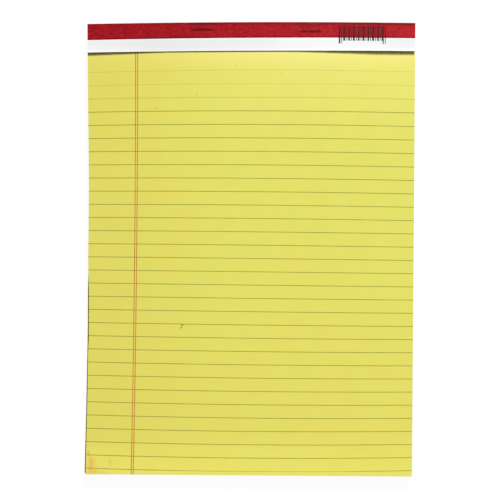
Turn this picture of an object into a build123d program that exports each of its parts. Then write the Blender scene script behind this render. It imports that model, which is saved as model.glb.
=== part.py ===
from build123d import *
from math import atan2, cos, floor, sin
import os

# Ruled writing pad bound at its head, lying on its back, in millimetres.
# X runs across the sheet, +Y points to the head and +Z out of the page.
# The origin is at the bottom centre of the trimmed pad.

# trimmed pad
pad_width = 215.9
pad_length = 298.45
# the trim is a little out of true: the left side is hollow, and leans out towards the back at the foot
trim_bow = 1.5
foot_lean = 0.9
# the head is bowed, with its left end lower than its right one
head_bow = 0.9
head_tilt = 0.6
# the foot is shorter at its right end, and both sides run in towards it
foot_tilt = 0.9
left_run_in = 0.6
right_run_in = 0.6

# sheets
sheet_count = 50
sheet_thickness = 0.09
# each sheet stands in or out of its neighbours by up to this, in evenly spread steps
edge_jog = 0.05
jog_steps = 11
left_stride = 3
right_stride = 5
foot_stride = 4

# perforation that leaves a sheet of standard length
header_depth = 19.05
cut_length = 1.6
cut_tie = 0.5
cut_width = 0.15

# chipboard back, which stands out past the lowest sheet at the left of the foot
board_thickness = 0.76
board_peep = 0.5

# white strip across the head, loose below the tape
strip_thickness = 0.2
strip_depth = 18.7
strip_lift = 0.95
# places across the width, from the centre, and the lift of the loose edge at each
lift_place_shares = (-0.5, -0.25, 0, 0.25, 0.5)
lift_shares = (0.75, 0.37, 0.22, 0.8, 1)

# tape folded round the head
tape_thickness = 0.12
tape_width = 25.4
tape_front = 10.0

# staples of flat wire
wire_width = 0.6
wire_height = 0.45
crown_length = 12.7
clinch_length = 4.2
bend_radius = 0.5
crown_sink = 0.22
clinch_sink = 0.3
seat_clearance = 0.03
# the tape slopes down to the paper over this distance all round the wire
tape_skirt = 1.5
# the wire is sheared at this slant, as run to rise
shear_slant_share = 0.8
left_staple_x = -31.5
left_staple_drop = 4.4
right_staple_x = 39.9
right_staple_drop = 5.6

# how far cutting shapes run past what they cut
overrun = 3.0

seat_width = wire_width + 2 * seat_clearance
seat_height = wire_height + 2 * seat_clearance
# how far the tape is raised over the wire, in front and behind
crown_rise = wire_height - crown_sink + seat_clearance
clinch_rise = wire_height - clinch_sink + seat_clearance

# heights, from the lowest point of the tape behind the clinched wire
board_bottom = clinch_rise
board_top = board_bottom + board_thickness
sheets_top = board_top + sheet_count * sheet_thickness
strip_top = sheets_top + strip_thickness
# the board is pressed in under the tape by the tape's own thickness
pressed_face = board_bottom + tape_thickness

# places along the pad
tape_head = pad_length / 2
head = tape_head - tape_thickness
foot = -pad_length / 2
tape_edge = tape_head - tape_front
strip_edge = tape_head - strip_depth
perforation = tape_head - header_depth
# what is left of the tape's width, after the front and the head, lies behind
tape_back = tape_width - tape_front - (strip_top + tape_thickness - board_bottom)
tape_back_edge = tape_head - tape_back

left = -pad_width / 2
right = pad_width / 2

# the strip starts to curl at a straight line, where the tape's bowed edge lies lowest
flap_root = tape_edge - head_bow - head_tilt / 2


def jog(index, stride):
    """How far one edge of a sheet stands out, in a spread that repeats after jog_steps sheets."""
    step_share = (index * stride) % jog_steps / (jog_steps - 1)
    return edge_jog * (2 * step_share - 1)


def head_fall(x):
    """How far the bowed line of the head lies below its highest place, across the pad."""
    side_share = x / right
    return head_bow * side_share**2 - head_tilt / 2 * side_share


def below_line(place):
    """All that lies below a line parallel to the head, which passes through the given place."""
    reach = right + overrun
    line_left, line_middle, line_right = [Vector(x, place - head_fall(x)) for x in (-reach, 0, reach)]
    drop = Vector(0, pad_length + overrun)
    rest = Polyline(line_right, line_right - drop, line_left - drop, line_left)
    return make_face(ThreePointArc(line_left, line_middle, line_right) + rest)


def blank(lean=0, left_out=0, right_out=0, foot_out=0):
    """Outline of a trimmed layer before its head is cut: hollow at the left and straight elsewhere."""
    top_left = Vector(left - left_out, tape_head)
    foot_left = Vector(left - left_out - lean + left_run_in, foot - foot_out)
    foot_right = Vector(right + right_out - right_run_in, foot + foot_tilt - foot_out)
    top_right = Vector(right + right_out, tape_head)
    hollow = (top_left + foot_left) / 2 + Vector(trim_bow, 0)
    raised = Vector(0, overrun)
    lower_sides = Polyline(foot_left, foot_right, top_right)
    waste_above = Polyline(top_right, top_right + raised, top_left + raised, top_left)
    hollow_side = ThreePointArc(top_left, hollow, foot_left)
    return make_face(lower_sides + waste_above + hollow_side)


def plan(head_place, **trim):
    """Outline of a trimmed layer whose head lies at the given place."""
    return blank(**trim) & below_line(head_place)


def band(head_place, lower_place):
    """Outline of what lies across the head, between two lines parallel to it."""
    return plan(head_place) - below_line(lower_place)


def layer(face, bottom, thickness):
    """A flat layer of the given outline."""
    return Pos(0, 0, bottom) * extrude(face, thickness)


def one_solid(shape):
    """The single solid that a shape holds."""
    solids = shape.solids()
    if len(solids) != 1:
        raise ValueError(f"expected one solid, found {len(solids)}")
    return solids[0]


def staple_path(centre_x, centre_y):
    """Centre line of a driven staple: crown in front, legs through the pad, ends turned in behind."""
    crown_z = strip_top - crown_sink + wire_height / 2
    clinch_z = pressed_face + clinch_sink - wire_height / 2
    half_crown = (crown_length - wire_height) / 2
    end = half_crown - clinch_length
    corners = [
        (-end, clinch_z),
        (-half_crown, clinch_z),
        (-half_crown, crown_z),
        (half_crown, crown_z),
        (half_crown, clinch_z),
        (end, clinch_z),
    ]
    points = [Vector(centre_x + x, centre_y, z) for x, z in corners]
    return FilletPolyline(*points, radius=bend_radius)


def wire_along(path, width, height):
    """Flat wire of the given section along a path, with its width along the pad."""
    section = Plane(origin=path @ 0, x_dir=(0, 1, 0), z_dir=path % 0) * Rectangle(width, height)
    return sweep(section, path=path)


def sheared(wire, path, side):
    """The wire with one clinched end cut off at a slant, so that its point lies against the board."""
    end = path @ 0 if side < 0 else path @ 1
    # each end points to the middle of the crown
    outward = Vector(-side * wire_height, 0)
    up = Vector(0, wire_height)
    point = Vector(end.X, end.Z) + up / 2
    slant = up + outward * shear_slant_share
    waste = Polyline(point + slant, point - 2 * slant, point - 2 * slant + 3 * outward, close=True)
    return wire.cut(extrude(Plane.XZ.offset(-end.Y) * make_face(waste), wire_width, both=True))


def tent(length, rise, centre_x, centre_y, base_z, way):
    """The space under tape that is drawn over a straight wire, from base_z in the way given."""
    base = SlotOverall(length + 2 * tape_skirt, seat_width + 2 * tape_skirt)
    ridge = SlotOverall(length + seat_width, seat_width)
    place = Vector(centre_x, centre_y, base_z)
    top = place + Vector(0, 0, way * rise)
    return loft([Pos(*place) * base, Pos(*top) * ridge])


def make_sheets(seats):
    """Fifty sheets as one block, perforated below the head and pierced by the staples."""
    block = []
    for index in range(sheet_count):
        depth_share = 1 - (index + 1) / sheet_count
        outline = plan(
            head,
            lean=foot_lean * depth_share,
            left_out=jog(index, left_stride),
            right_out=jog(index, right_stride),
            foot_out=jog(index, foot_stride),
        )
        block.append(layer(outline, board_top + index * sheet_thickness, sheet_thickness))
    stack = block[0].fuse(*block[1:])
    pitch = cut_length + cut_tie
    count = floor((pad_width - cut_tie) / pitch)
    cuts = []
    for index in range(count):
        centre_x = (index - (count - 1) / 2) * pitch
        cut = Pos(centre_x, perforation - head_fall(centre_x)) * Rectangle(cut_length, cut_width)
        cuts.append(layer(cut, board_top - overrun, sheets_top - board_top + 2 * overrun))
    return stack.cut(*cuts, *seats)


def make_board(seats):
    """Chipboard back, pressed in under the tape, with grooves for the clinched wire."""
    outline = plan(head, lean=foot_lean + board_peep)
    board = layer(outline, board_bottom, board_thickness)
    behind_tape = below_line(tape_head + overrun) - below_line(tape_back_edge)
    pressing = layer(behind_tape, pressed_face - overrun, overrun)
    return board.cut(pressing, *seats)


def flap_section(place_share, lift_share):
    """Section of the strip's loose flap at one place across the width, curling up from the tape's edge."""
    x = place_share * (pad_width + 2 * overrun)
    lift = strip_lift * lift_share
    depth = flap_root - strip_edge + head_fall(x)
    # an arc that leaves the paper level turns twice the slope of its chord
    turn = 2 * atan2(lift, depth)
    root = Vector(x, flap_root, sheets_top)
    root_top = root + Vector(0, 0, strip_thickness)
    free = Vector(x, flap_root - depth, sheets_top + lift)
    free_top = free + Vector(0, strip_thickness * sin(turn), strip_thickness * cos(turn))
    towards_foot = (0, -1, 0)
    under = TangentArc(root, free, tangent=towards_foot)
    over = TangentArc(root_top, free_top, tangent=towards_foot)
    return make_face(under + Line(free, free_top) + over + Line(root_top, root))


def make_strip(seats):
    """White strip: flat and held under the tape, curling off the sheets below it."""
    held = layer(plan(head), sheets_top, strip_thickness)
    trimmed = layer(plan(head), sheets_top - overrun, strip_lift + strip_thickness + 2 * overrun)
    below_root = Pos(0, flap_root - pad_length, sheets_top) * Box(
        pad_width + 2 * overrun, 2 * pad_length, 2 * overrun
    )
    flap = loft([flap_section(*shares) for shares in zip(lift_place_shares, lift_shares)])
    strip = held.cut(below_root).fuse(flap & trimmed)
    return strip.cut(*seats)


def make_tape():
    """Tape in one fold round the head, drawn over the crowns in front and the clinched ends behind."""
    front = layer(band(tape_head, tape_edge), strip_top, tape_thickness)
    fold = layer(band(tape_head, head), board_bottom, strip_top + tape_thickness - board_bottom)
    back = layer(band(tape_head, tape_back_edge), board_bottom, tape_thickness)
    wrap = front.fuse(fold, back)
    spaces = []
    skins = []
    for centre_x, drop in staple_places():
        centre_y = tape_head - drop
        spaces.append(tent(crown_length, crown_rise, centre_x, centre_y, strip_top, 1))
        skins.append(Pos(0, 0, tape_thickness) * spaces[-1])
        for side in (-1, 1):
            clinch_x = centre_x + side * (crown_length - clinch_length) / 2
            spaces.append(tent(clinch_length, clinch_rise, clinch_x, centre_y, pressed_face, -1))
            skins.append(Pos(0, 0, -tape_thickness) * spaces[-1])
    return wrap.fuse(*skins).cut(*spaces)


def staple_places():
    """Centre and distance below the head of each staple, left and then right."""
    return [(left_staple_x, left_staple_drop), (right_staple_x, right_staple_drop)]


paths = [staple_path(x, tape_head - drop) for x, drop in staple_places()]
seats = [wire_along(path, seat_width, seat_height) for path in paths]
wires = [wire_along(path, wire_width, wire_height) for path in paths]
staples = [sheared(sheared(wire, path, -1), path, 1) for wire, path in zip(wires, paths)]

nodes = {
    "sheets": make_sheets(seats),
    "backing_board": make_board(seats),
    "header_strip": make_strip(seats),
    "binding_tape": make_tape(),
    "staple_left": staples[0],
    "staple_right": staples[1],
}

os.makedirs("parts", exist_ok=True)
for name, shape in nodes.items():
    export_step(one_solid(shape), f"parts/{name}.step")
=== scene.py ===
from math import cos, pi, radians, sin

import bmesh
import bpy
from bpy.props import FloatProperty, FloatVectorProperty, IntProperty, PointerProperty
from mathutils import Matrix, Vector, noise


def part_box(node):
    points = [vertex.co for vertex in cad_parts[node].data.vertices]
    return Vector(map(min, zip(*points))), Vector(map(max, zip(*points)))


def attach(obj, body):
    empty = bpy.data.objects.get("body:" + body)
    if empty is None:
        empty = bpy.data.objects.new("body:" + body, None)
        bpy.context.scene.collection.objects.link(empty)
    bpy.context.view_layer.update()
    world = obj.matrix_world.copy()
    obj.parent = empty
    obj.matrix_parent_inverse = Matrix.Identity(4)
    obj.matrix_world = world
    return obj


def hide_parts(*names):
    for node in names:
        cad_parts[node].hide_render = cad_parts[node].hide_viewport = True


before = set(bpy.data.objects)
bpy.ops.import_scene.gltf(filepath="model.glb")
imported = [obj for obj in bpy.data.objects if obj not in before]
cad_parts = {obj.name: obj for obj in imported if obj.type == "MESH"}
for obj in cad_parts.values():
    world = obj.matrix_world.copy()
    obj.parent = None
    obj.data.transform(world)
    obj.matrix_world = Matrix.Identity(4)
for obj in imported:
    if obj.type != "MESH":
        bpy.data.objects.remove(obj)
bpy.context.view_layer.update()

bl_info = {
    "name": "Legal pad",
    "version": (1, 0, 0),
    "blender": (4, 5, 0),
    "location": "View3D > Sidebar > Legal pad",
    "description": "Builds a writing pad's ruled sheets, strip and tape round its board and staples",
    "category": "Object",
}

mm = 0.001

# places taken from the frame
sheets_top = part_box("sheets")[1].z
board_low, board_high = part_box("backing_board")
tape_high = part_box("binding_tape")[1]
half_width = tape_high.x
foot = board_low.y
tape_thickness = tape_high.y - board_high.y
pressed_face = board_low.z + tape_thickness
# the head is bowed, and this is where it crosses the middle of the pad
tape_head = -foot
head = tape_head - tape_thickness


def length(name, description, default):
    """A size that a user can change, with its default in millimetres."""
    return FloatProperty(name=name, description=description, default=default * mm, unit="LENGTH")


def angle(name, description, default):
    """An angle that a user can change, with its default in degrees."""
    return FloatProperty(name=name, description=description, default=radians(default), subtype="ANGLE")


def tint(name, description, default):
    """A colour that a user can change."""
    return FloatVectorProperty(name=name, description=description, default=default, subtype="COLOR")


class TrimSettings(bpy.types.PropertyGroup):
    """How far the trimmed outline is out of true"""

    hollow: length("Hollow", "How far the left side is trimmed in at its middle", 1.5)
    ripple: length("Ripple", "How far the left side swings about its hollow curve", 0.22)
    lean: length("Lean", "How far the lowest sheet stands out at the left of the foot", 0.9)
    head_bow: length("Head bow", "How far the ends of the head lie below its middle", 0.9)
    head_tilt: length("Head tilt", "How far the left end of the head lies below its right end", 0.6)
    foot_tilt: length("Foot tilt", "How far the right end of the foot lies above its left end", 0.9)
    run_in: length("Run in", "How far both sides run in towards the foot", 0.6)
    head_in: length("Head in", "How far the left end of the head stands in", 0.28)
    fan: length("Fan", "How far the upper sheets stand in from the lower ones at the left side", 0.95)


class SheetSettings(bpy.types.PropertyGroup):
    """Sizes and colours of the ruled sheets"""

    count: IntProperty(name="Sheets", description="Number of sheets in the block", default=50)
    jog: length("Jog", "How far one sheet stands in or out of its neighbours", 0.05)
    groove: length("Groove", "Depth of the groove between two sheets", 0.06)
    wave: length("Wave", "Height of the slow waves in the top sheets", 0.05)
    perforation_drop: length("Perforation", "Distance of the perforation below the head", 19.05)
    cut_length: length("Cut length", "Length of each cut of the perforation", 1.6)
    cut_tie: length("Tie", "Paper left between two cuts", 0.5)
    cut_width: length("Cut width", "Width of each cut", 0.15)
    rule_spacing: length("Rule spacing", "Distance from one ruled line to the next", 8.798)
    first_rule: length("First rule", "Place of the highest ruled line, from the middle of the pad", 116.99)
    rule_width: length("Rule width", "Width of a ruled line", 0.4)
    margin_place: length("Margin", "Place of the double margin line, from the middle of the pad", -74.63)
    margin_gap: length("Margin gap", "Distance between the two margin lines", 1.34)
    margin_width: length("Margin width", "Width of each margin line", 0.46)
    lemon: tint("Lemon", "Cooler tone of the yellow paper", (0.765, 0.755, 0.14))
    straw: tint("Straw", "Warmer tone of the yellow paper", (0.8, 0.723, 0.13))
    rule_ink: tint("Rule ink", "Ink of the ruled lines", (0.235, 0.272, 0.03))
    margin_ink: tint("Margin ink", "Ink of the margin lines", (0.38, 0.065, 0.001))


class StripSettings(bpy.types.PropertyGroup):
    """Sizes and colours of the white strip across the head"""

    thickness: length("Thickness", "Thickness of the strip", 0.2)
    depth: length("Depth", "Distance of the loose edge below the head", 18.7)
    middle_lift: length("Lift in the middle", "How far the loose edge stands off in the middle", 0.2)
    left_drop: length("Left drop", "How much lower the loose edge lies at its left end", 0.36)
    left_lift: length("Lift at the left", "How much further it stands off at its left end", 0.58)
    right_lift: length("Lift at the right", "How much further it stands off at its right end", 0.75)
    bars_left: length("Bars from", "Left end of the printed bars", 57.7)
    bars_length: length("Bars length", "Length of the field of printed bars", 31.4)
    bars_top_drop: length("Bars top", "Distance of the bars below the head", 2.4)
    bars_foot_drop: length("Bars foot", "Distance of the foot of the bars below the head", 12.1)
    bars_end_drop: length("Bars end drop", "How much further down the bars at both ends reach", 1.9)
    bars_period: length("Bars period", "Length after which the bars repeat", 6.28)
    white: tint("White", "Colour of the strip", (0.855, 0.855, 0.86))
    bar_ink: tint("Bar ink", "Ink of the printed bars", (0.02, 0.02, 0.022))


class TapeSettings(bpy.types.PropertyGroup):
    """Sizes and colours of the tape folded round the head"""

    width: length("Width", "Width of the tape before it is folded", 25.4)
    front: length("Front", "Distance of the front edge below the head", 10.3)
    fold: length("Fold", "Radius of the two folds at the head", 0.2)
    row: length("Row", "Size of a mesh face along the tape's width", 0.3)
    column: length("Column", "Size of a mesh face along the tape", 0.75)
    skirt: length("Skirt", "Distance over which the tape comes down beside a wire", 1.2)
    wide_skirt: length("Wide skirt", "The same distance between the left crown and the head", 2.3)
    front_rise: length("Front rise", "How far the tape is raised over the staples' crowns", 0.26)
    seat: length("Seat", "Half the width of the seat of a wire", 0.33)
    clinch_length: length("Clinch length", "Length of a clinched end", 4.2)
    crinkle: length("Crinkle", "Height of the small unevenness of the tape", 0.02)
    front_tilt: length("Front tilt", "How far the right end of the front edge is turned headward", 0.35)
    shelf: length("Shelf", "How far the tape stands off between the right crown and the head", 0.16)
    pressed_share: FloatProperty(
        name="Pressed", description="Share of the thickness left at the front edge", default=0.22,
    )
    dark_red: tint("Dark red", "Colour of the tape at the left", (0.335, 0.0015, 0.0065))
    light_red: tint("Light red", "Colour of the tape at the right", (0.457, 0.009, 0.0155))


class BoardSettings(bpy.types.PropertyGroup):
    """Colours of the chipboard back"""

    grey: tint("Grey", "Darker tone of the chipboard", (0.25, 0.22, 0.17))
    brown: tint("Brown", "Paler tone of the chipboard", (0.36, 0.31, 0.235))


class StapleSettings(bpy.types.PropertyGroup):
    """Colour of the staples"""

    steel: tint("Steel", "Colour of the staple wire", (0.55, 0.55, 0.55))


class StageSettings(bpy.types.PropertyGroup):
    """Floor, light and camera"""

    floor_half: length("Floor", "Half the side of the floor", 2000)
    sun_height: angle("Key height", "Height of the key light above the horizon", 25)
    sun_turn: angle("Key turn", "Turn of the key light from the head towards the right", 15)
    sun_angle: angle("Key size", "Angle that the key light fills", 12)
    sun_strength: FloatProperty(name="Key strength", description="Strength of the key light", default=6.0)
    side_power: FloatProperty(name="Side power", description="Power of the side light", default=1.4)
    side_size: length("Side size", "Length of the side light's sides", 350)
    sky: FloatProperty(name="Sky", description="Strength of the light from all round", default=0.1)
    distance: length("Distance", "Distance of the camera from the pad", 700)
    turn: angle("Turn", "How far the camera stands to the right", 1.543)
    roll: angle("Roll", "Roll of the camera", 0.312)
    lens: FloatProperty(name="Lens", description="Focal length of the camera in millimetres", default=76.06)


class Signal:
    """What varies over a surface, kept as a node's output: a vector, or a number to be reckoned with."""

    def __init__(self, socket):
        self.socket = socket
        self.tree = socket.id_data

    def reckon(self, operation, *others):
        """The number that an operation makes of this one and others."""
        node = self.tree.nodes.new("ShaderNodeMath")
        node.operation = operation
        for entry, value in zip(node.inputs, (self, *others)):
            feed(entry, value)
        return Signal(node.outputs[0])

    def __add__(self, other):
        return self.reckon("ADD", other)

    def __sub__(self, other):
        return self.reckon("SUBTRACT", other)

    def __mul__(self, other):
        return self.reckon("MULTIPLY", other)

    def __truediv__(self, other):
        return self.reckon("DIVIDE", other)

    def __rtruediv__(self, other):
        return self.reckon("POWER", -1.0) * other

    def __rsub__(self, other):
        return self.reckon("MULTIPLY_ADD", -1.0, other)

    __radd__ = __add__
    __rmul__ = __mul__

    def size(self):
        """The number without its sign."""
        return self.reckon("ABSOLUTE")

    def step(self, low, high):
        """0 at low and 1 at high, with a smooth change between them; low may be the larger one."""
        node = self.tree.nodes.new("ShaderNodeMapRange")
        node.interpolation_type = "SMOOTHSTEP"
        feed(node.inputs["Value"], self)
        feed(node.inputs["From Min"], low)
        feed(node.inputs["From Max"], high)
        return Signal(node.outputs["Result"])


def feed(entry, value):
    """Gives a node's input a plain value, a signal or another node's output."""
    if isinstance(value, Signal):
        value = value.socket
    if isinstance(value, bpy.types.NodeSocket):
        entry.id_data.links.new(value, entry)
    else:
        entry.default_value = value


def new_group(name, vectors, numbers, outputs):
    """Makes a node group and gives its inputs as signals, and the sockets of its outputs, by name."""
    tree = bpy.data.node_groups.new(name, "ShaderNodeTree")
    for label in vectors:
        tree.interface.new_socket(label, in_out="INPUT", socket_type="NodeSocketVector")
    for label in numbers:
        tree.interface.new_socket(label, in_out="INPUT", socket_type="NodeSocketFloat")
    for label in outputs:
        tree.interface.new_socket(label, in_out="OUTPUT", socket_type="NodeSocketFloat")
    entry = tree.nodes.new("NodeGroupInput")
    leave = tree.nodes.new("NodeGroupOutput")
    return {label: Signal(entry.outputs[label]) for label in (*vectors, *numbers)}, leave.inputs


def placed(group, place, **inputs):
    """Adds a node group by name and gives its outputs as signals; spaces in names are underscores."""
    node = place.tree.nodes.new("ShaderNodeGroup")
    node.node_tree = bpy.data.node_groups[group]
    feed(node.inputs["Place"], place)
    for label, value in inputs.items():
        feed(node.inputs[label.replace("_", " ")], value)
    return {output.name: Signal(output) for output in node.outputs}


def axes(vector):
    """The three numbers of a vector."""
    node = vector.tree.nodes.new("ShaderNodeSeparateXYZ")
    feed(node.inputs[0], vector)
    return [Signal(output) for output in node.outputs]


def stretched(vector, scale):
    """A vector with each of its axes multiplied."""
    node = vector.tree.nodes.new("ShaderNodeMapping")
    feed(node.inputs["Vector"], vector)
    feed(node.inputs["Scale"], scale)
    return Signal(node.outputs["Vector"])


def cloud(vector, size, detail=2.0, rough=0.5):
    """Noise about zero, from about -0.5 to 0.5, whose patches have the given size."""
    node = vector.tree.nodes.new("ShaderNodeTexNoise")
    feed(node.inputs["Vector"], vector)
    feed(node.inputs["Scale"], 1 / size)
    feed(node.inputs["Detail"], detail)
    feed(node.inputs["Roughness"], rough)
    return Signal(node.outputs["Fac"]) - 0.5


def blended(share, first, second):
    """A colour between two colours."""
    node = share.tree.nodes.new("ShaderNodeMix")
    node.data_type = "RGBA"
    feed(node.inputs[0], share)
    for entry, value in ((node.inputs[6], first), (node.inputs[7], second)):
        feed(entry, value if isinstance(value, bpy.types.NodeSocket) else (*value, 1))
    return node.outputs[2]


def vector_sum(operation, *vectors, result="Vector"):
    """A sum with vectors, whose result is a vector or a value."""
    node = vectors[0].tree.nodes.new("ShaderNodeVectorMath")
    node.operation = operation
    for entry, vector in zip(node.inputs, vectors):
        feed(entry, vector)
    return Signal(node.outputs[result])


def shaded(colour, shade):
    """A colour made lighter or darker by a signal about 1."""
    node = shade.tree.nodes.new("ShaderNodeVectorMath")
    node.operation = "SCALE"
    feed(node.inputs[0], colour)
    feed(node.inputs["Scale"], shade)
    return node.outputs[0]


def surface(name):
    """A new material: the material, its shader and the place on the object."""
    material = bpy.data.materials.new(name)
    material.use_nodes = True
    nodes = material.node_tree.nodes
    place = Signal(nodes.new("ShaderNodeTexCoord").outputs["Object"])
    return material, nodes["Principled BSDF"], place


def painted(shader, colour, roughness, gloss):
    """Gives a shader its colour, its roughness and how much it mirrors."""
    feed(shader.inputs["Base Color"], colour)
    feed(shader.inputs["Roughness"], roughness)
    feed(shader.inputs["Specular IOR Level"], gloss)


def rough_relief(shader, height, distance, strength):
    """Small relief of a surface, as bump."""
    bump = height.tree.nodes.new("ShaderNodeBump")
    feed(bump.inputs["Strength"], strength)
    feed(bump.inputs["Distance"], distance)
    feed(bump.inputs["Height"], height)
    feed(shader.inputs["Normal"], bump.outputs[0])


# how much a surface faces up when it no longer counts as standing, and when it counts as lying
lying_shares = (0.3, 0.7)


def upward(place):
    """How much the surface faces up at a place: 1 lying, 0 standing and -1 facing down."""
    normal = place.tree.nodes.new("ShaderNodeNewGeometry").outputs["Normal"]
    return axes(Signal(normal))[2]


def facing_up(place):
    """1 where the surface faces up, 0 where it stands or faces down."""
    return upward(place).step(*lying_shares)


def fibre_group():
    """Fibres and clouds of paper: a shade about 1 and a height."""
    given, made = new_group("paper fibre", ["Place"], ["Size", "Amount"], ["Shade", "Height"])
    fine = cloud(given["Place"], given["Size"], 3.0)
    broad = cloud(given["Place"], given["Size"] * 14.0, 2.0)
    feed(made["Shade"], 1.0 + (fine + broad) * given["Amount"])
    feed(made["Height"], fine)


def mark_group():
    """A soft-edged oval mark: 1 inside it and 0 outside, with an edge as ragged as asked."""
    given, made = new_group("oval mark", ["Place", "Centre", "Half size"], ["Ragged"], ["Mask"])
    away = vector_sum("SUBTRACT", given["Place"], given["Centre"])
    radius = vector_sum("LENGTH", vector_sum("DIVIDE", away, given["Half size"]), result="Value")
    ragged = cloud(given["Place"], 0.9 * mm) * given["Ragged"]
    feed(made["Mask"], (radius + ragged).step(1.35, 0.55))


# where each bar starts and ends, as shares of the length after which they repeat
bar_shares = ((0.03, 0.21), (0.31, 0.39), (0.5, 0.73), (0.84, 0.92))


def bars_group(strip, trim):
    """A field of plain printed bars that repeat, two wide and two thin, with edges as soft as asked."""
    given, made = new_group("plain bars", ["Place"], ["Soft"], ["Ink", "Field"])
    x, y = axes(given["Place"])[:2]
    y = y + head_fall(x, trim)
    along = (x - strip.bars_left) / strip.bars_period
    turn = along.reckon("FRACT")
    ink = 0.0
    for start, end in bar_shares:
        middle, half = (start + end) / 2, (end - start) / 2
        inward = (half - (turn - middle).size()) / given["Soft"]
        ink = inward.reckon("MULTIPLY_ADD", 0.5, 0.5).reckon("MINIMUM", 1.0).reckon("MAXIMUM", 0.0) + ink
    half_length, soft = strip.bars_length / strip.bars_period / 2, 0.02
    beside = (along - half_length).size()
    inside = beside.step(half_length + soft, half_length - soft)
    # the bars are longer over this share of a repeat at both ends
    end_share = 0.4
    lowered = y + beside.step(half_length - end_share, half_length - end_share + soft) * strip.bars_end_drop
    edge, top, low = 0.1 * mm, tape_head - strip.bars_top_drop, tape_head - strip.bars_foot_drop
    below_top, above_foot = y.step(top + edge, top - edge), lowered.step(low - edge, low + edge)
    field = inside * below_top * above_foot
    feed(made["Ink"], ink * field)
    feed(made["Field"], field)


def head_fall(x, trim):
    """How far a line parallel to the head lies below its place in the middle, for a number or a signal."""
    side = x / half_width
    return side * side * trim.head_bow - side * (trim.head_tilt / 2)


def print_place(place):
    """Where a point lies in the print, in metres: the print is turned, fanned and sagged a little."""
    x, y = axes(place)[:2]
    # in tenths of a metre, so that the drifts are in millimetres, fitted to the lines as they are printed
    u, v = x * 10.0, y * 10.0
    drift = u * 0.58 + v * 0.37 - u * v * 0.15 + u * u * 0.18 - v * v * 0.5
    drift += u * u * v * 0.95 - u * v * v * 0.54 - v * v * v * 0.29
    margin_drift = v * 0.44 - v * v * 0.39 - 0.3
    return x - margin_drift * mm, y + drift * mm


# marks on the top sheet: place and half size in millimetres, raggedness, strength and colour
brown, orange, rose, olive = (0.2, 0.17, 0.02), (0.86, 0.42, 0.06), (0.55, 0.2, 0.14), (0.3, 0.28, 0.05)
sheet_marks = {
    "spot on a rule": ((-43.9, -50.2), (0.75, 0.7), 1.2, 0.75, brown),
    "tail of the spot": ((-44.6, -51.9), (0.7, 0.9), 1.2, 0.55, brown),
    "orange smear": ((-103.4, -144.0), (3.8, 5.8), 1.4, 0.3, orange),
    "orange corner": ((-101.5, -148.4), (7.5, 1.7), 1.4, 0.31, orange),
    "rose streak": ((-103.8, -141.5), (1.3, 4.0), 1.4, 0.22, rose),
    "rose blot": ((-104.2, -145.4), (1.7, 1.4), 1.2, 0.2, rose),
    "faint streak": ((-91.3, -141.4), (1.1, 2.9), 1.4, 0.15, olive),
    "dark corner of a rule": ((-105.4, -135.6), (0.8, 2.0), 1.2, 0.32, olive),
    "speck by the margin": ((-62.1, 92.3), (0.8, 0.5), 1.0, 0.45, olive),
    "speck under the head": ((-35.3, 101.4), (0.5, 0.6), 1.0, 0.4, brown),
    "upper speck": ((-9.3, 121.3), (0.5, 0.5), 1.0, 0.3, olive),
    "upper speck, right": ((20.2, 115.4), (0.6, 0.4), 1.0, 0.25, olive),
    "speck at the right": ((75.1, -41.6), (0.6, 0.5), 1.0, 0.3, olive),
    "faint dash": ((-28.8, -93.8), (1.8, 0.4), 1.2, 0.2, olive),
}


# how far the edge of a printed line fades to each side
line_fade = 0.06 * mm


def side_shares(x):
    """How near a place is to the left side and to the right side of the pad, each from 0 to 1."""
    return x.step(0.0, -half_width), x.step(-half_width, 0.4 * half_width)


def sheet_tones(place, up, shade, sheets):
    """The yellow paper's colour: slow patches, tones that come in across and along the pad, and painted
    light and shade.
    """
    # where each tone, painted light and painted shade starts to come in and where it is full, along the pad
    straw_stretch, foot_light_stretch = (0.0, -110 * mm), (-118 * mm, -149 * mm)
    strip_sheen_stretch, right_sheen_stretch = (114 * mm, 132 * mm), (60 * mm, 131 * mm)
    x, y = axes(place)[:2]
    left, right = side_shares(x)
    patches = cloud(place, 22 * mm, 3.0) * 1.6 + cloud(place, 5 * mm, 2.0) * 0.6
    warm = (patches + 0.38 + left * 0.55 + y.step(*straw_stretch) * 0.4).reckon("MINIMUM", 1.15)
    colour = blended(warm.reckon("MAXIMUM", 0.0), sheets.lemon, sheets.straw)
    # painted sheen: paler towards the strip, and more so towards the top right
    pale = y.step(*strip_sheen_stretch) * (0.44 + right * 0.05) + y.step(*right_sheen_stretch) * right * 0.28
    sheen_tone = blended(right, (0.94, 0.78, 0.19), (0.98, 0.885, 0.275))
    colour = blended(pale * up, colour, sheen_tone)
    # painted light brightens the foot, and painted shade darkens the left side above it
    painted_lightness = y.step(*foot_light_stretch)
    painted_shade = left * (1.0 - painted_lightness) * 0.04
    return shaded(colour, shade * (1.0 - painted_shade + painted_lightness * 0.06))


def ruled_lines(place, along, seen, colour, sheets):
    """A colour with the ruled lines printed on it."""
    x = axes(place)[0]
    left, right = side_shares(x)
    # counted from the highest line, which is 0
    rows = (sheets.first_rule - along) / sheets.rule_spacing
    off = (rows - rows.reckon("ROUND")).size() * sheets.rule_spacing * (1.0 - left * 0.05)
    half = sheets.rule_width / 2
    # the first lines are nearly dry, the third is weak, and the last is weak at the right, up to its end
    first_row, wet_row, last_row, strong_end = (-0.6, -0.4), (1.6, 3.0), (29.4, 29.6), (50 * mm, 88 * mm)
    weak = 0.1 + right * 0.45 - x.step(*strong_end) * 0.45
    wet = 0.25 + rows.step(*wet_row) * 0.75 - rows.step(*last_row) * weak
    uneven = 1.03 + left * 0.18 + cloud(stretched(place, (0.25, 1, 1)), 2.5 * mm, 3.0) * 0.7
    rule = off.step(half + line_fade, half - line_fade) * wet * uneven * rows.step(*first_row)
    return blended(rule * seen, colour, sheets.rule_ink)


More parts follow.
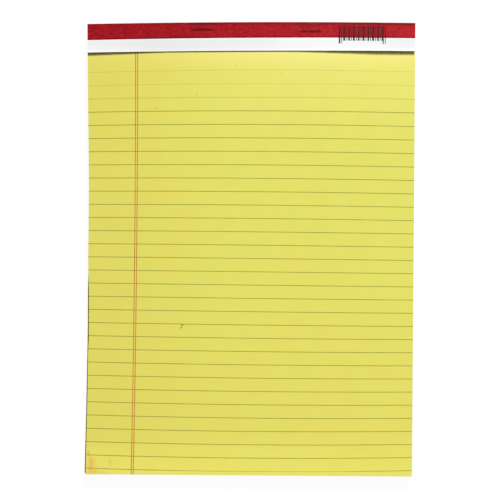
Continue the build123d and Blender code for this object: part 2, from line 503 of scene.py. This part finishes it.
def margin_lines(place, across, up, seen, colour, sheets):
    """A colour with the double margin line printed on it."""
    from_middle = (across - sheets.margin_place).size()
    beside = (from_middle - sheets.margin_gap / 2).size()
    half = sheets.margin_width / 2
    margin = beside.step(half + line_fade, half - line_fade)
    patchy = 1.0 + cloud(stretched(place, (1, 0.2, 1)), 2 * mm, 3.0) * 0.8
    colour = blended(margin * patchy * seen, colour, sheets.margin_ink)
    # a trace of the ink has spread between the two lines and a little beside them
    between = from_middle.step(sheets.margin_gap * 0.95, sheets.margin_gap * 0.3)
    return blended(between * up * 0.26, colour, (0.92, 0.5, 0.12))


def marked(place, up, colour):
    """A colour with the marks of the top sheet laid over it."""
    for centre, half_size, ragged, strength, ink in sheet_marks.values():
        mask = placed(
            "oval mark", place, Ragged=ragged,
            Centre=(centre[0] * mm, centre[1] * mm, 0), Half_size=(half_size[0] * mm, half_size[1] * mm, 0),
        )["Mask"]
        colour = blended(mask * up * strength, colour, ink)
    return colour


def yellow_paper(sheets):
    """Ruled yellow paper: tones, fibres, ruled lines, double margin line, marks and cut edges."""
    material, shader, place = surface("yellow ruled paper")
    up = facing_up(place)
    paper = placed("paper fibre", place, Size=0.7 * mm, Amount=0.05)
    colour = sheet_tones(place, up, paper["Shade"], sheets)
    # the lines run out to the cut edges, and show weakly there
    seen = 0.15 + up * 0.85
    across, along = print_place(place)
    colour = ruled_lines(place, along, seen, colour, sheets)
    colour = margin_lines(place, across, up, seen, colour, sheets)
    colour = marked(place, up, colour)

    # the cut edges, where each sheet has its own tone
    edge_tone = cloud(stretched(place, (0.01, 0.01, 1)), 0.13 * mm, 1.0) * 0.35
    colour = shaded(colour, up + (1.0 - up) * (0.9 + edge_tone))
    painted(shader, colour, 0.82 + paper["Height"] * 0.2, 0.15)
    rough_relief(shader, paper["Height"], 0.02 * mm, 0.35)
    return material


def white_paper(strip, tape, trim):
    """White strip: cool paper with fibres and a field of plain printed bars."""
    material, shader, place = surface("white strip paper")
    up = facing_up(place)
    x, y = axes(place)[:2]
    paper = placed("paper fibre", place, Size=0.8 * mm, Amount=0.035)
    # the middle, which lies this far above the loose edge, is grimier than the long edges, and painted
    # light brightens the strip just below the tape
    middle_rise, grime_reach, painted_rim_light_reach = 4.35 * mm, (3.9 * mm, 2.2 * mm), (2.8 * mm, 0.8 * mm)
    below_head = tape_head - head_fall(x, trim) - y
    grime = (below_head - strip.depth + middle_rise).size().step(*grime_reach)
    painted_rim_light = (below_head - tape.front).step(*painted_rim_light_reach)
    # painted shade dulls the curled ends towards the loose edge, and painted light makes the strip
    # brightest right of the middle, with painted shade towards the right end
    low_stretch = (8 * mm, 18 * mm)
    left_end, right_end = x.step(0.0, -0.9 * half_width), x.step(0.1 * half_width, 0.7 * half_width)
    low = below_head.step(*low_stretch)
    painted_shade = left_end * (0.02 + low * 0.07) + right_end * low * 0.12
    painted_lightness = x.step(0.0, 0.35 * half_width) * 0.085 - x.step(0.45 * half_width, 0.95 * half_width) * 0.11
    tone = paper["Shade"] * (1.0 - grime * 0.04 - painted_shade + painted_lightness + painted_rim_light * 0.05)
    colour = shaded(strip.white, tone)
    ink = placed("plain bars", place, Soft=0.015)["Ink"] * (0.95 + paper["Height"] * 0.3)
    colour = blended(ink * up, colour, strip.bar_ink)
    painted(shader, colour, 0.7 + paper["Height"] * 0.2, 0.2)
    rough_relief(shader, paper["Height"], 0.01 * mm, 0.3)
    return material


def shade_over_staples(x, y, up, shade):
    """The tape's shade made darker over each crown, where the wire shows through, and painted shade between
    it and the head that dims the lit side of the tape's bump.
    """
    # over a crown: how far past its end the dark starts, how far short of it that is full, and its width
    past_end, short_of_end, off_line = 0.3 * mm, 0.7 * mm, (1.1 * mm, 0.4 * mm)
    # the stretch right of a crown's middle over which the dark fades
    fade_stretch = (2 * mm, 4.5 * mm)
    # above a crown, painted shade dims the lit side of the tape's bump: how far past its end it starts, and
    # where it comes in above its line
    above_past_end, above_line = 4 * mm, (0.4 * mm, 1.2 * mm)
    for crown, fade, painted_shade in (("staple_left", 0.45, 0.3), ("staple_right", 0.0, 0.15)):
        low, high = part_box(crown)
        middle, half_crown = (low + high) / 2, (high.x - low.x) / 2
        beside, headward = x - middle.x, y - middle.y
        wire = beside.size().step(half_crown + past_end, half_crown - short_of_end)
        wire = wire * headward.size().step(*off_line)
        wire = wire * (1.0 - beside.step(*fade_stretch) * fade)
        above = beside.size().step(half_crown + above_past_end, half_crown) * headward.step(*above_line)
        shade = shade * (1.0 - wire * up * 0.45) * (1.0 - above * up * painted_shade)
    return shade


def red_tape(tape, trim):
    """Red paper tape: crepe fibres, painted shade along its edges and above the staples, and wire and bars
    showing through.
    """
    material, shader, place = surface("red paper tape")
    up = facing_up(place)
    x, y = axes(place)[:2]
    paper = placed("paper fibre", place, Size=0.55 * mm, Amount=0.3)
    blotch = cloud(stretched(place, (0.6, 1, 1)), 1.8 * mm, 4.0, 0.7) * 1.25
    paler = x.step(-half_width, half_width).reckon("POWER", 1.5)
    colour = blended(paler, tape.dark_red, tape.light_red)
    # pale fibres lie in the dyed paper
    pale_fibre = cloud(stretched(place, (0.6, 1, 1)), 1.1 * mm, 4.0, 0.75) * (0.9 + paler * 0.4)
    colour = blended((pale_fibre + 0.01).reckon("MAXIMUM", 0.0), colour, (0.56, 0.1, 0.115))
    shade = paper["Shade"] * (1.0 + blotch)

    # painted shade along the front edge and along the fold at the head, stronger at the right where the
    # fold is lit: where it ends, and where it is full
    front_shade_reach, fold_shade_reach = (1.4 * mm, 0.3 * mm), (2.7 * mm, 0.8 * mm)
    below_head = tape_head - head_fall(x, trim) - y
    tilted = x * (tape.front_tilt / half_width)
    front_edge = (tape.front - tilted - below_head).step(*front_shade_reach)
    fold_shade = below_head.step(*fold_shade_reach)
    shade = shade * (1.0 - front_edge * 0.36 - fold_shade * (0.18 + paler * 0.36))

    print_under = placed("plain bars", place, Soft=0.035)
    seen = (print_under["Ink"] * 0.9 + print_under["Field"] * 0.08) * (1.0 + blotch * 2.0)
    colour = blended(seen * up, colour, (0.075, 0.008, 0.011))
    shade = shade_over_staples(x, y, up, shade)
    painted(shader, shaded(colour, shade), 0.7 + paper["Height"] * 0.3, 0.1)
    rough_relief(shader, paper["Height"] + blotch * 0.4, 0.04 * mm, 0.5)
    return material


def chipboard(board):
    """Grey-brown chipboard: pressed fibres, dark and pale specks, and layers in its cut edge."""
    material, shader, place = surface("chipboard")
    paper = placed("paper fibre", place, Size=1.1 * mm, Amount=0.16)
    hairs = cloud(stretched(place, (0.2, 1, 1)), 0.7 * mm, 4.0, 0.7)
    cross_hairs = cloud(stretched(place, (1, 0.25, 1)), 0.8 * mm, 4.0, 0.7)
    tone = (hairs + cross_hairs + 0.5).step(0.15, 0.85)
    colour = blended(tone, board.grey, board.brown)
    dark = cloud(place, 1.3 * mm, 2.0).step(0.21, 0.27)
    colour = blended(dark * 0.55, colour, (0.09, 0.08, 0.065))
    pale = cloud(stretched(place, (1, 1, 3)), 1.7 * mm, 3.0).step(0.2, 0.26)
    colour = blended(pale * 0.4, colour, (0.55, 0.5, 0.41))
    layers = cloud(stretched(place, (0.05, 0.05, 1)), 0.12 * mm, 2.0) * 0.3
    standing = 1.0 - upward(place).size().step(*lying_shares)
    colour = shaded(colour, paper["Shade"] * (1.0 + layers * standing))
    painted(shader, colour, 0.88 + paper["Height"] * 0.15, 0.2)
    rough_relief(shader, paper["Height"] + hairs * 0.6, 0.08 * mm, 0.5)
    return material


def staple_wire(staple):
    """Drawn steel wire: fine lines along it and a few dull spots."""
    material, shader, place = surface("staple wire")
    drawn = cloud(stretched(place, (0.05, 1, 1)), 0.08 * mm, 3.0)
    spots = cloud(place, 0.9 * mm, 3.0).step(0.05, 0.25)
    colour = shaded(staple.steel, 1.0 + drawn * 0.3)
    colour = blended(spots * 0.3, colour, (0.3, 0.29, 0.27))
    painted(shader, colour, 0.34 + drawn * 0.25 + spots * 0.2, 0.5)
    feed(shader.inputs["Metallic"], 1.0)
    return material


# the left side swings in and out over this length, and out the most at this place
ripple_length, ripple_place = 138 * mm, -20 * mm
# places at which the fan of the sheets at the left starts, is full, starts to fade and has faded
fan_start, fan_full, fan_fade, fan_end = -10 * mm, -26 * mm, -58 * mm, -70 * mm
# the share of the fan that is lost by then
fan_lost_share = 0.9


def hollow_at(y, trim):
    """How far the left side is trimmed in at a place along the pad."""
    share = (y - foot) / (head - foot)
    swing = cos(2 * pi * (y - ripple_place) / ripple_length) * trim.ripple
    return (trim.hollow - swing) * 4 * share * (1 - share)


def smooth_share(value, low, high):
    """0 up to low and 1 from high, with a smooth change between them; low may be the larger one."""
    share = min(max((value - low) / (high - low), 0), 1)
    return share * share * (3 - 2 * share)


def fan_share(y):
    """How much the sheets are fanned at the left: most below the middle, hardly at the foot."""
    lost = fan_lost_share * smooth_share(y, fan_fade, fan_end)
    return smooth_share(y, fan_start, fan_full) * (1 - lost)


def left_share(x):
    """1 at the left side of the pad and 0 at the right."""
    return 0.5 - x / (2 * half_width)


def trim_out_of_true(point, trim, head_share=1):
    """Moves a point of a straight-sided layer to its place in the trimmed outline."""
    left, foot_share = left_share(point.x), (head - point.y) / (head - foot)
    along = (1 - head_share) * (1 - left) * trim.foot_tilt - head_share * head_fall(point.x, trim)
    # the high power keeps this to the head
    inward = hollow_at(point.y, trim) + trim.head_in * (1 - foot_share) ** 8
    point.x += left * inward + (2 * left - 1) * foot_share * trim.run_in
    point.y += along


def jog_share(index, stride, steps=11):
    """Where one sheet of the block stands among its neighbours, from -1 to 1."""
    return 2 * (index * stride % steps) / (steps - 1) - 1


def put_in_scene(name, data):
    """A new object in the scene, for a mesh, a lamp or a camera."""
    item = bpy.data.objects.new(name, data)
    bpy.context.scene.collection.objects.link(item)
    return item


def mesh_object(bm, name, material):
    """A new object in the scene, made from a bmesh."""
    mesh = bpy.data.meshes.new(name)
    bm.to_mesh(mesh)
    bm.free()
    mesh.materials.append(material)
    return put_in_scene(name, mesh)


def finished(bm, name, material, node):
    """The piece made from a bmesh, standing for a node of the frame."""
    piece = mesh_object(bm, name, material)
    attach(piece, "root")
    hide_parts(node)
    return piece


def flat_grid(bm, columns, rows, low_y, high_y, z):
    """A flat grid as wide as the pad, between two places along it."""
    bmesh.ops.create_grid(bm, x_segments=columns, y_segments=rows, size=0.5)
    bmesh.ops.scale(bm, verts=bm.verts, vec=(2 * half_width, high_y - low_y, 1))
    bmesh.ops.translate(bm, verts=bm.verts, vec=(0, (low_y + high_y) / 2, z))


def slice_across(bm, faces, place, normal):
    """Cuts faces along a plane, and gives back all the faces of the cut stretch."""
    geometry = set(faces)
    for face in faces:
        geometry.update(face.edges, face.verts)
    cut = bmesh.ops.bisect_plane(bm, geom=list(geometry), dist=1e-7, plane_co=place, plane_no=normal)
    return [item for item in cut["geom"] if isinstance(item, bmesh.types.BMFace)]


def next_ring(bm, ring, z, sheets, index, inset):
    """Extrudes the block's open rim down to z, along the outline of one sheet of the block."""
    grown = bmesh.ops.extrude_edge_only(bm, edges=ring)["geom"]
    # each side has a stride of its own, so that no two jog alike
    left = half_width + sheets.jog * jog_share(index, 3) - inset
    right = half_width + sheets.jog * jog_share(index, 5) - inset
    low = foot - sheets.jog * jog_share(index, 4) + inset
    near = 0.5 * mm
    for vert in [item for item in grown if isinstance(item, bmesh.types.BMVert)]:
        vert.co.z = z
        if vert.co.x < near - half_width:
            vert.co.x = -left
        if vert.co.x > half_width - near:
            vert.co.x = right
        if vert.co.y < foot + near:
            vert.co.y = low
    return [item for item in grown if isinstance(item, bmesh.types.BMEdge)]


def perforate(bm, tier, sheets, depth):
    """Cuts a row of slits into the narrow tier of faces at the perforation, down to a depth."""
    pitch = sheets.cut_length + sheets.cut_tie
    count = int((2 * half_width - sheets.cut_tie) / pitch)
    slit_places = [(number - (count - 1) / 2) * pitch for number in range(count)]
    for place in slit_places:
        for side in (-1, 1):
            tier = slice_across(bm, tier, (place + side * sheets.cut_length / 2, 0, 0), (1, 0, 0))
    slits = [
        face for face in tier
        if min(abs(face.calc_center_median().x - place) for place in slit_places) < sheets.cut_length / 2
    ]
    for pit in bmesh.ops.extrude_discrete_faces(bm, faces=slits)["faces"]:
        bmesh.ops.translate(bm, verts=pit.verts, vec=(0, 0, -depth))


def sheet_block(sheets, trim):
    """The block of sheets, with its perforation and a groove between each sheet and the next."""
    bm = bmesh.new()
    flat_grid(bm, columns=24, rows=34, low_y=foot, high_y=head, z=sheets_top)
    perforation, half_cut = tape_head - sheets.perforation_drop, sheets.cut_width / 2
    for side in (-1, 1):
        edge = perforation + side * half_cut
        slice_across(bm, list(bm.faces), (0, edge, 0), (0, 1, 0))
    tier = [face for face in bm.faces if abs(face.calc_center_median().y - perforation) < half_cut]

    sheet = (sheets_top - board_high.z) / sheets.count
    # the share of a sheet's thickness that slopes into a groove, on each side of it
    slope_share = 0.15
    ring = [edge for edge in bm.edges if edge.is_boundary]
    for number in range(sheets.count):
        index = sheets.count - 1 - number
        top = sheets_top - number * sheet
        if number:
            ring = next_ring(bm, ring, top - slope_share * sheet, sheets, index, 0)
        ring = next_ring(bm, ring, top - (1 - slope_share) * sheet, sheets, index, 0)
        if index:
            ring = next_ring(bm, ring, top - sheet, sheets, index, sheets.groove)
    ring = next_ring(bm, ring, board_high.z, sheets, 0, 0)
    bmesh.ops.contextual_create(bm, geom=ring)

    # each cut can be seen into for the depth of a few sheets
    pit_depth = 5 * sheet
    perforate(bm, tier, sheets, pit_depth)

    # the top sheets wave slowly, and the waves come in over a stretch below the perforation
    wave_length, wave_slice, wave_stretch = 85 * mm, 0.3, 30 * mm
    # the fanned sheets stand in above this depth and out below it
    fan_depth_share = 0.65
    for vert in bm.verts:
        depth_share = (sheets_top - vert.co.z) / (sheets_top - board_high.z)
        foot_share = (head - vert.co.y) / (head - foot)
        wave = noise.noise(Vector((vert.co.x, vert.co.y, wave_slice)) / wave_length) * sheets.wave
        free = min(max((perforation - vert.co.y) / wave_stretch, 0), 1)
        vert.co.z += wave * free * max(1 - depth_share * 2, 0)
        fan = trim.fan * fan_share(vert.co.y) * (fan_depth_share - depth_share)
        vert.co.x += left_share(vert.co.x) * (fan - trim.lean * depth_share * foot_share)
        trim_out_of_true(vert.co, trim, min((vert.co.y - foot) / (perforation - foot), 1))
    bmesh.ops.recalc_face_normals(bm, faces=bm.faces)
    return bm


def strip_sheet(strip, tape, trim):
    """The underside of the strip: flat below the tape, and curling off the sheets to its loose edge."""
    bm = bmesh.new()
    flat_grid(bm, columns=96, rows=26, low_y=tape_head - strip.depth, high_y=head, z=sheets_top)
    # it starts to curl at a straight line, about where the tape's bowed edge lies lowest
    root = tape_head - tape.front - trim.head_bow - trim.head_tilt / 2
    curl_power = 1.6
    # the shares of half the width from which and up to which each end lifts
    right_curl_shares, left_curl_shares = (0.2, 0.85), (0.45, 1.05)
    for vert in bm.verts:
        side = vert.co.x / half_width
        lift = strip.middle_lift
        lift += strip.right_lift * smooth_share(side, *right_curl_shares)
        lift += strip.left_lift * smooth_share(-side, *left_curl_shares)
        trim_out_of_true(vert.co, trim)
        loose = (root - vert.co.y) / (root - (tape_head - strip.depth) + head_fall(vert.co.x, trim))
        vert.co.z += lift * max(loose, 0) ** curl_power
        vert.co.y -= strip.left_drop * left_share(vert.co.x) * max(loose, 0)
    return bm


def thickened(piece, thickness):
    """Gives a sheet its thickness on the side that its faces look to."""
    wall = piece.modifiers.new("thickness", "SOLIDIFY")
    wall.thickness = thickness
    wall.offset = 1
    wall.use_even_offset = True
    return wall


def over_wire(point, middle, half_length, head_skirt, tape):
    """How far the tape is raised at a point by a straight wire, from 0 beside it to 1 over it."""
    away = Vector((max(abs(point.x - middle.x) - half_length, 0), point.y - middle.y))
    headward = max(away.y, 0) / max(away.length, tape.seat)
    return smooth_share(away.length - tape.seat, tape.skirt + (head_skirt - tape.skirt) * headward, 0)


def staple_spans(tape):
    """The straight wires under the tape, crowns and clinches: middle, half length and skirt to the head."""
    crowns, clinches = [], []
    for node, head_skirt in (("staple_left", tape.wide_skirt), ("staple_right", tape.skirt)):
        low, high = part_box(node)
        middle, half_crown = (low + high) / 2, (high.x - low.x) / 2
        crowns.append((middle, half_crown, head_skirt))
        for side in (-1, 1):
            inward = Vector((side * (half_crown - tape.clinch_length / 2), 0, 0))
            clinches.append((middle + inward, tape.clinch_length / 2, tape.skirt))
    return crowns, clinches


def folded_line(bm, corners, tape):
    """A line at the left side through four corners, rounded at the middle two and in short edges."""
    verts = [bm.verts.new((-half_width, y, z)) for y, z in corners]
    for start, end in zip(verts, verts[1:]):
        bm.edges.new((start, end))
    bmesh.ops.bevel(
        bm, geom=verts[1:3], offset=tape.fold, segments=5, profile=0.5, affect="VERTICES", material=-1
    )
    for edge in list(bm.edges):
        cuts = round(edge.calc_length() / tape.row) - 1
        if cuts > 0:
            bmesh.ops.subdivide_edges(bm, edges=[edge], cuts=cuts)


def front_rise(point, crowns, tape):
    """How far the tape's front is raised at a point, by the crowns and by the shelf above the right one."""
    # distances over which the shelf comes down: towards the crown, past its ends and to the head
    shelf_foot, shelf_side, shelf_head = 0.3 * mm, 0.4 * mm, 1 * mm
    rise = tape.front_rise * max(over_wire(point, *crown, tape) for crown in crowns)
    middle, half_crown = crowns[-1][:2]
    beside = smooth_share(abs(point.x - middle.x) - half_crown, shelf_side, 0)
    above = smooth_share(point.y, middle.y, middle.y + shelf_foot)
    return max(rise, tape.shelf * beside * above * smooth_share(point.y, head, head - shelf_head))


def tape_sheet(tape, strip, trim):
    """The inside of the tape: a folded line carried across the pad, raised over the staples."""
    strip_top = sheets_top + strip.thickness
    front_edge = tape_head - tape.front
    back_edge = tape_head - (tape.width - tape.front - (strip_top + tape_thickness - board_low.z))
    bm = bmesh.new()
    corners = [(front_edge, strip_top), (head, strip_top), (head, pressed_face), (back_edge, pressed_face)]
    folded_line(bm, corners, tape)
    steps = round(2 * half_width / tape.column)
    bmesh.ops.spin(
        bm, geom=[*bm.verts, *bm.edges], cent=(0, 0, 0), axis=(1, 0, 0),
        dvec=(2 * half_width / steps, 0, 0), angle=0, steps=steps,
    )
    bmesh.ops.recalc_face_normals(bm, faces=bm.faces)
    upper = max(bm.faces, key=lambda face: face.calc_center_median().z)
    if upper.normal.z < 0:
        bmesh.ops.reverse_faces(bm, faces=bm.faces)

    crowns, clinches = staple_spans(tape)
    pressed = bm.verts.layers.deform.verify()
    fine_crinkle, broad_crinkle = 1.4 * mm, 5 * mm
    for vert in bm.verts:
        point = vert.co
        on_front = point.z > strip_top - tape.fold / 2
        on_back = point.z < pressed_face + tape.fold / 2
        # the front edge is pressed thin
        full = min((point.y - front_edge) / tape.row, 1) if on_front else 1
        vert[pressed][0] = full
        if on_front:
            point.y += tape.front_tilt * point.x / half_width * (head - point.y) / (head - front_edge)
        trim_out_of_true(point, trim)
        if on_front:
            crinkle = noise.noise(point / fine_crinkle) + noise.noise(point / broad_crinkle) + 1
            point.z += front_rise(point, crowns, tape) + max(crinkle * tape.crinkle / 2, 0) * full
        if on_back:
            point.z -= board_low.z * max(over_wire(point, *clinch, tape) for clinch in clinches)
    return bm


class PAD_OT_sheets(bpy.types.Operator):
    """Builds the block of ruled sheets"""

    bl_idname = "pad.sheets"
    bl_label = "Ruled sheets"

    def execute(self, context):
        sheets = context.scene.pad_sheets
        bm = sheet_block(sheets, context.scene.pad_trim)
        finished(bm, "pad_sheets", yellow_paper(sheets), "sheets")
        return {"FINISHED"}


class PAD_OT_strip(bpy.types.Operator):
    """Builds the white strip across the head"""

    bl_idname = "pad.strip"
    bl_label = "White strip"

    def execute(self, context):
        strip, tape, trim = context.scene.pad_strip, context.scene.pad_tape, context.scene.pad_trim
        paper = white_paper(strip, tape, trim)
        piece = finished(strip_sheet(strip, tape, trim), "head_strip", paper, "header_strip")
        thickened(piece, strip.thickness)
        return {"FINISHED"}


class PAD_OT_tape(bpy.types.Operator):
    """Builds the tape folded round the head"""

    bl_idname = "pad.tape"
    bl_label = "Red tape"

    def execute(self, context):
        tape, trim = context.scene.pad_tape, context.scene.pad_trim
        bm = tape_sheet(tape, context.scene.pad_strip, trim)
        piece = finished(bm, "folded_tape", red_tape(tape, trim), "binding_tape")
        wall = thickened(piece, tape_thickness)
        wall.vertex_group = piece.vertex_groups.new(name="pressed").name
        wall.thickness_vertex_group = tape.pressed_share
        return {"FINISHED"}


class PAD_OT_board(bpy.types.Operator):
    """Gives the back its chipboard"""

    bl_idname = "pad.board"
    bl_label = "Chipboard back"

    def execute(self, context):
        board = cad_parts["backing_board"]
        board.material_slots[0].material = chipboard(context.scene.pad_board)
        return {"FINISHED"}


class PAD_OT_staples(bpy.types.Operator):
    """Gives the two staples their steel"""

    bl_idname = "pad.staples"
    bl_label = "Staples"

    def execute(self, context):
        steel = staple_wire(context.scene.pad_staples)
        for name in ("staple_left", "staple_right"):
            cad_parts[name].material_slots[0].material = steel
        return {"FINISHED"}


def white_to_the_eye(tree):
    """1 for what the camera, gloss or glass sees, and 0 for the light that falls on things."""
    path = tree.nodes.new("ShaderNodeLightPath")
    seen = Signal(path.outputs["Is Camera Ray"])
    for ray in ("Is Glossy Ray", "Is Transmission Ray"):
        seen = seen.reckon("MAXIMUM", Signal(path.outputs[ray]))
    return seen


def pale_floor():
    """A white floor that shows a faint shadow of what stands on it."""
    material, shader, place = surface("pale floor")
    tree = place.tree
    seen = white_to_the_eye(tree)
    grain = cloud(place, 60 * mm, 2.0) * 0.01
    tree.nodes.remove(shader)
    # to the light it is pale grey, and to the eye a white glow with a dark grey that takes the shadow
    pale_grey, dark_grey, white_glow = 0.8, 0.06, 0.96
    paint = tree.nodes.new("ShaderNodeBsdfDiffuse")
    tone = pale_grey - seen * (pale_grey - dark_grey) + grain
    feed(paint.inputs["Color"], shaded((1, 1, 1), tone))
    glow = tree.nodes.new("ShaderNodeEmission")
    feed(glow.inputs["Strength"], seen * white_glow)
    both = tree.nodes.new("ShaderNodeAddShader")
    feed(both.inputs[0], paint.outputs[0])
    feed(both.inputs[1], glow.outputs[0])
    feed(tree.nodes["Material Output"].inputs["Surface"], both.outputs[0])
    return material


def add_lamp(name, kind, place, **settings):
    """A lamp at a place, turned to the middle of the pad."""
    data = bpy.data.lights.new(name, kind)
    for setting, value in settings.items():
        setattr(data, setting, value)
    lamp = put_in_scene(name, data)
    lamp.location = place
    lamp.rotation_euler = (-place).to_track_quat("-Z", "Y").to_euler()


def add_camera(stage):
    """The camera above the pad, a little to its right."""
    data = bpy.data.cameras.new("camera")
    data.lens = stage.lens
    camera = put_in_scene("camera", data)
    aim = Vector((0.33 * mm, -0.62 * mm, 0))
    away = Vector((sin(stage.turn), 0, cos(stage.turn))) * stage.distance
    turn = Matrix.Rotation(stage.turn, 4, "Y") @ Matrix.Rotation(stage.roll, 4, "Z")
    camera.matrix_world = Matrix.Translation(aim + away) @ turn
    bpy.context.scene.camera = camera


class PAD_OT_stage(bpy.types.Operator):
    """Sets up the floor, the light and the camera"""

    bl_idname = "pad.stage"
    bl_label = "Stage"

    def execute(self, context):
        stage = context.scene.pad_stage
        bm = bmesh.new()
        bmesh.ops.create_grid(bm, x_segments=8, y_segments=8, size=stage.floor_half)
        floor = mesh_object(bm, "floor", pale_floor())

        level = cos(stage.sun_height)
        key = Vector((sin(stage.sun_turn) * level, cos(stage.sun_turn) * level, sin(stage.sun_height)))
        add_lamp("key", "SUN", key, energy=stage.sun_strength, angle=stage.sun_angle)
        side = Vector((0.55, 0.6, 0.55))
        add_lamp("side", "AREA", side, energy=stage.side_power, size=stage.side_size)

        world = bpy.data.worlds.new("sky")
        world.use_nodes = True
        context.scene.world = world
        tree = world.node_tree
        seen = white_to_the_eye(tree)
        background = tree.nodes["Background"]
        feed(background.inputs["Color"], (1, 1, 1, 1))
        feed(background.inputs["Strength"], stage.sky + seen * (1 - stage.sky))

        add_camera(stage)
        context.scene.view_settings.view_transform = "Standard"
        return {"FINISHED"}


class PAD_PT_panel(bpy.types.Panel):
    """Lists the steps that build the pad"""

    bl_idname = "PAD_PT_panel"
    bl_label = "Legal pad"
    bl_space_type = "VIEW_3D"
    bl_region_type = "UI"
    bl_category = "Legal pad"

    def draw(self, context):
        for operator in operators:
            self.layout.operator(operator.bl_idname)


setting_groups = {
    "pad_trim": TrimSettings,
    "pad_sheets": SheetSettings,
    "pad_strip": StripSettings,
    "pad_tape": TapeSettings,
    "pad_board": BoardSettings,
    "pad_staples": StapleSettings,
    "pad_stage": StageSettings,
}
operators = (PAD_OT_sheets, PAD_OT_strip, PAD_OT_tape, PAD_OT_board, PAD_OT_staples, PAD_OT_stage)


def register():
    for cls in (*setting_groups.values(), *operators, PAD_PT_panel):
        bpy.utils.register_class(cls)
    for name, cls in setting_groups.items():
        setattr(bpy.types.Scene, name, PointerProperty(type=cls))


def unregister():
    for name in setting_groups:
        delattr(bpy.types.Scene, name)
    for cls in (PAD_PT_panel, *reversed(operators), *reversed(setting_groups.values())):
        bpy.utils.unregister_class(cls)


def main():
    register()
    fibre_group()
    mark_group()
    bars_group(bpy.context.scene.pad_strip, bpy.context.scene.pad_trim)
    bpy.ops.pad.sheets()
    bpy.ops.pad.strip()
    bpy.ops.pad.tape()
    bpy.ops.pad.board()
    bpy.ops.pad.staples()
    bpy.ops.pad.stage()


if __name__ == "__main__":
    main()
